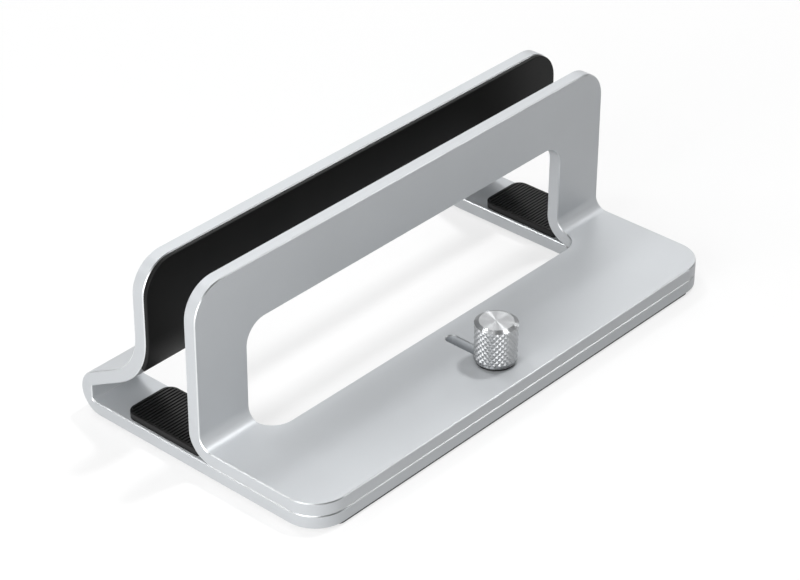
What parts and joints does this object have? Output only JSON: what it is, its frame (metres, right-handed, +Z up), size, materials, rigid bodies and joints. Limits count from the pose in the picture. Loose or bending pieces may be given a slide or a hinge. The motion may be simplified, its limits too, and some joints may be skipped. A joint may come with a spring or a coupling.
{
  "type": "vertical laptop stand",
  "caption": "Desk stand of bent aluminium sheet that holds a closed laptop upright between two lined uprights; one upright slides and is clamped by a knurled thumb knob.",
  "frame": {"origin": "on the floor, under the middle of the stand's overall box at rest", "axes": "+X along the stand's length to the right, +Y to the rear, from the knob to the fixed upright, +Z up"},
  "size_m": [0.2004, 0.105, 0.068],
  "materials": {
    "bracket_metal": "fine satin anodised, with bright polished edges",
    "knob_metal": "turned top and a diamond knurl on the side",
    "screw_steel": "plated",
    "liner_rubber": "smooth satin",
    "pad_rubber": "ribbed, matt",
    "foot_rubber": "matt",
    "washer_plastic": "matt",
    "bush_plastic": "matt"
  },
  "bodies": {
    "base": {"base_bracket": "bracket_metal", "rear_liner": "liner_rubber", "left_rest_pad": "pad_rubber", "right_rest_pad": "pad_rubber", "clamp_stud": "screw_steel", "front_foot": "foot_rubber", "rear_left_foot": "foot_rubber", "rear_right_foot": "foot_rubber"},
    "slider": {"sliding_bracket": "bracket_metal", "front_liner": "liner_rubber", "left_guide_screw": "screw_steel", "right_guide_screw": "screw_steel", "left_guide_bush": "bush_plastic", "right_guide_bush": "bush_plastic"},
    "clamp": {"knob_washer": "washer_plastic"},
    "knob": {"knob": "knob_metal"}
  },
  "joints": [
    {"name": "bracket_slide", "type": "slide", "parent": "base", "child": "slider", "axis": [0, -1, 0], "range_m": [0, 0.019]},
    {"name": "knob_lift", "type": "slide", "parent": "base", "child": "clamp", "axis": [0, 0, 1], "range_m": [0, 0.0014]},
    {"name": "knob_turn", "type": "hinge", "parent": "clamp", "child": "knob", "pos_m": [0, -0.03885, 0.018], "axis": [0, 0, 1], "range_deg": [0, 720]}
  ],
  "couplings": [
    {"joint": "knob_turn", "follows": "knob_lift", "rad_per_m": 8975.9}
  ]
}
